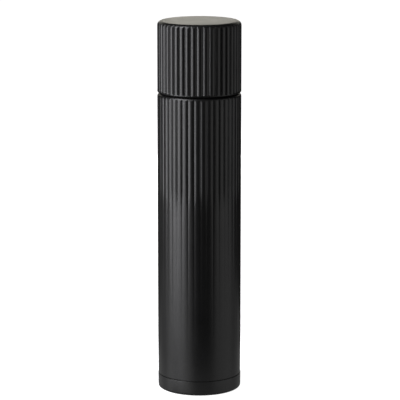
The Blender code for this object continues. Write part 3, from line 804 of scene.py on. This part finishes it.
def make_valve():
    """The stem, and below the port its washer, backing plate and nut."""
    low, high, reach = measure("valve_stem")
    shoulder_low, shoulder_top = STOPPER_LOW, STOPPER_LOW + 1.6
    stem_r = reach / 2
    bore_r = stem_r + GAP
    stem = [(0, high), (stem_r, high, 0.4), (stem_r, shoulder_top, 0.3), (reach, shoulder_top, 0.4)]
    stem += [(reach, shoulder_low, 0.2), (stem_r, shoulder_low, 0.1), (stem_r, low, 0.6), (0, low)]
    turned_node("valve_stem", stem, GREY_PLASTIC, "button", closed=False, count=64)

    low, high, reach = measure("valve_seal")
    washer = [(reach, high - 0.5, 0.4), (reach, low, 0.5), (bore_r, low, 0.2), (bore_r, high, 0.2)]
    washer += [(reach - 1.0, high, 0.5)]
    turned_node("valve_seal", washer, PALE_SILICONE, "button")

    low, high, reach = measure("valve_disc")
    plate = [(reach, high, 0.4), (reach, low + 0.8, 0.5), (reach - 1.4, low, 0.6)]
    plate += [(bore_r, low), (bore_r, high)]
    turned_node("valve_disc", plate, GREY_PLASTIC, "button")

    low, high, reach = measure("stem_nut")
    chamfer_r = bore_r + 0.3

    def six_sided(angle, r, z):
        """Flats on the outer wall, with corners on the Y axis."""
        if r < bore_r + 1.0:
            return r
        off = (angle - math.pi / 2 + math.pi / 6) % (math.pi / 3) - math.pi / 6
        flat = reach * math.cos(math.pi / 6) / math.cos(math.pi / 6 - abs(off))
        return min(flat, r)

    nut = [(reach - 0.9, high), (reach, high - 0.5), (reach, low + 0.5), (reach - 0.9, low)]
    nut += [(chamfer_r, low), (bore_r, low + 0.3), (bore_r, high - 0.3), (chamfer_r, high)]
    turned_node("stem_nut", nut, GREY_PLASTIC, "button", 0, count=96, press=six_sided)


def make_spring():
    """The button's spring, with closed end coils."""
    low, high, reach = measure("button_spring")
    wire_r = 0.5
    coil_r = reach - wire_r
    coils = 4
    closing = 0.09  # how far the end coils close up, as a share of the height
    sides, per_turn = 12, 64
    count = coils * per_turn
    verts, faces = [], []
    for i in range(count + 1):
        t = i / count
        a = coils * TAU * t
        rise = t - closing * math.sin(TAU * t)
        z = low + wire_r + (high - low - 2 * wire_r) * rise
        for k in range(sides):
            b = TAU * k / sides
            r = coil_r + wire_r * math.cos(b)
            verts.append((r * math.cos(a), r * math.sin(a), z + wire_r * math.sin(b)))
    for i in range(count):
        one, two = i * sides, (i + 1) * sides
        for k in range(sides):
            n = (k + 1) % sides
            faces.append((one + k, two + k, two + n, one + n))
    faces.append(tuple(range(sides)))
    faces.append(tuple(reversed(range(count * sides, (count + 1) * sides))))
    spring = new_piece("button_spring_fine", verts, faces, SPRING_STEEL)
    place(spring, "stopper", "button_spring")
    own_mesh(spring)


for make in (
    make_body,
    make_base,
    make_pad,
    make_cup_shell,
    make_cup_liner,
    make_cup_thread_ring,
    make_cup_gasket,
    make_collar,
    make_inner_bottle,
    make_inner_bottom,
    make_stopper_body,
    make_stopper_fittings,
    make_button,
    make_valve,
    make_spring,
):
    make()

# Pieces that stay out of sight keep their CAD mesh
for node, look, slot in (
    ("vacuum_bottom", BARE_STEEL, "bare_steel"),
    ("reflective_foil", FOIL, "foil"),
    ("getter_capsule", GETTER_METAL, "getter_metal"),
    ("vacuum_seal", GLASS_BEAD, "glass_bead"),
    ("insulating_core", FOAM, "foam"),
    ("stem_guide", GREY_PLASTIC, "grey_plastic"),
):
    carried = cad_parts[node]
    carried.data.materials.clear()
    carried.data.materials.append(look)


# ---------------------------------------------------------------- studio

WHITE = (1.0, 1.0, 1.0)
WARM = (1.0, 0.965, 0.86)
COOL = (0.97, 0.97, 1.0)
AMBIENT = 0.02


def make_floor():
    """A wide pale floor that only the camera sees. Lights of its own stand for its glow."""
    bpy.ops.mesh.primitive_plane_add(size=40)
    floor = bpy.context.object
    floor.name = "floor"
    look = new_material("pale_floor", (0.88, 0.88, 0.88), 0.9)
    shader = look.node_tree.nodes["Principled BSDF"]
    shader.inputs["Specular IOR Level"].default_value = 0.0
    shader.inputs["Emission Color"].default_value = (*WHITE, 1.0)
    shader.inputs["Emission Strength"].default_value = 1.0
    floor.data.materials.append(look)
    floor.visible_glossy = False
    floor.visible_diffuse = False
    floor.visible_shadow = False


# Heights that the upright softboxes fill, in metres. The floor casts no shadow, so light
# also comes from below it.
LOW = (-0.45, -0.1)
MIDDLE = (-0.1, 0.25)
HIGH = (0.25, 0.9)
TOP = (0.9, 1.7)
LOW_TO_MIDDLE = (-0.45, 0.25)
BOUNCE_Z = 0.0005  # the lights that stand for the pale floor's glow lie just above it


def soft_light(name, where, aim, size, brightness, color=WHITE):
    """A rectangular softbox, size = (width, height) in metres, turned towards aim."""
    data = bpy.data.lights.new(name, "AREA")
    data.shape = "RECTANGLE"
    data.size, data.size_y = size
    data.energy = brightness * math.pi * size[0] * size[1]
    data.color = color
    light = bpy.data.objects.new(name, data)
    light.location = where
    light.rotation_mode = "QUATERNION"
    light.rotation_quaternion = (Vector(aim) - Vector(where)).to_track_quat("-Z", "Y")
    light.visible_camera = False
    bpy.context.scene.collection.objects.link(light)


def upright_softbox(name, bearing, half_angle, heights, brightness, color=WHITE):
    """A softbox one metre from the flask's axis.

    Its bearing is in degrees from the front, positive to the right, and half_angle is
    half of the angle that its width fills.
    """
    a = math.radians(bearing)
    low, high = heights
    middle = (low + high) / 2
    width = 2 * math.tan(math.radians(half_angle))
    where = (math.sin(a), -math.cos(a), middle)
    soft_light(name, where, (0.0, 0.0, middle), (width, high - low), brightness, color)


def floor_bounce(name, x, size, brightness):
    """The floor's glow at one place, straight up."""
    soft_light(name, (x, 0.0, BOUNCE_Z), (x, 0.0, 1.0), size, brightness)


def make_lights():
    """A strong key from the left, a weaker fill from the right and pale light from behind."""
    upright_softbox("key_outer", -70, 10, MIDDLE, 6.5, COOL)
    upright_softbox("key_inner", -50, 10, MIDDLE, 4.2, COOL)
    upright_softbox("key_high", -60, 20, HIGH, 5.0, COOL)
    upright_softbox("key_top", -60, 20, TOP, 9.0, COOL)
    upright_softbox("key_low", -40, 20, LOW, 0.7)
    upright_softbox("left_wing", -90, 10, LOW_TO_MIDDLE, 0.7)
    upright_softbox("left_wall", -120, 20, LOW_TO_MIDDLE, 0.1)
    upright_softbox("right_softbox", 70, 30, MIDDLE, 0.72)
    upright_softbox("right_high", 70, 30, HIGH, 0.4)
    upright_softbox("right_low", 70, 30, LOW, 0.25)
    upright_softbox("front_high", 20, 25, (0.45, 0.8), 0.3)
    upright_softbox("back_strip", 180, 8, LOW_TO_MIDDLE, 2.5)
    soft_light("back_low", (0.0, 1.3, 0.35), (0.0, 0.0, 0.35), (0.5, 0.3), 2.1, WARM)
    soft_light("back_high", (0.0, 1.3, 0.7), (0.0, 0.0, 0.7), (1.8, 0.4), 0.74, WARM)
    soft_light("top_softbox", (0.0, 0.0, 1.6), (0.0, 0.0, 0.0), (1.4, 1.4), 0.1)
    floor_bounce("floor_bounce", 0.0, (0.2, 0.2), 0.26)
    floor_bounce("floor_bounce_left", -0.25, (0.3, 0.4), 0.15)
    floor_bounce("floor_bounce_right", 0.25, (0.3, 0.4), 0.2)


def make_world():
    """Pale to the camera, almost dark to everything else."""
    world = bpy.data.worlds.new("studio")
    world.use_nodes = True
    tree = world.node_tree
    dim = tree.nodes["Background"]
    dim.inputs["Color"].default_value = (*WHITE, 1.0)
    dim.inputs["Strength"].default_value = AMBIENT
    pale = tree.nodes.new("ShaderNodeBackground")
    pale.inputs["Color"].default_value = (*WHITE, 1.0)
    path = tree.nodes.new("ShaderNodeLightPath")
    choice = tree.nodes.new("ShaderNodeMixShader")
    tree.links.new(path.outputs["Is Camera Ray"], choice.inputs["Fac"])
    tree.links.new(dim.outputs["Background"], choice.inputs[1])
    tree.links.new(pale.outputs["Background"], choice.inputs[2])
    tree.links.new(choice.outputs["Shader"], tree.nodes["World Output"].inputs["Surface"])
    bpy.context.scene.world = world
    bpy.context.scene.view_settings.view_transform = "Standard"


def make_camera():
    """Straight on from the front, a little above the flask."""
    distance = 1.66
    above_top = 0.1969
    tilt = 11.35  # degrees down
    data = bpy.data.cameras.new("camera")
    data.sensor_width = 36.0
    data.lens = 201.65
    data.shift_x = 0.0016
    camera = bpy.data.objects.new("camera", data)
    camera.location = (0.0, -distance, CUP_TOP * MM + above_top)
    camera.rotation_euler = (math.radians(90.0 - tilt), 0.0, 0.0)
    bpy.context.scene.collection.objects.link(camera)
    bpy.context.scene.camera = camera


make_floor()
make_lights()
make_world()
make_camera()
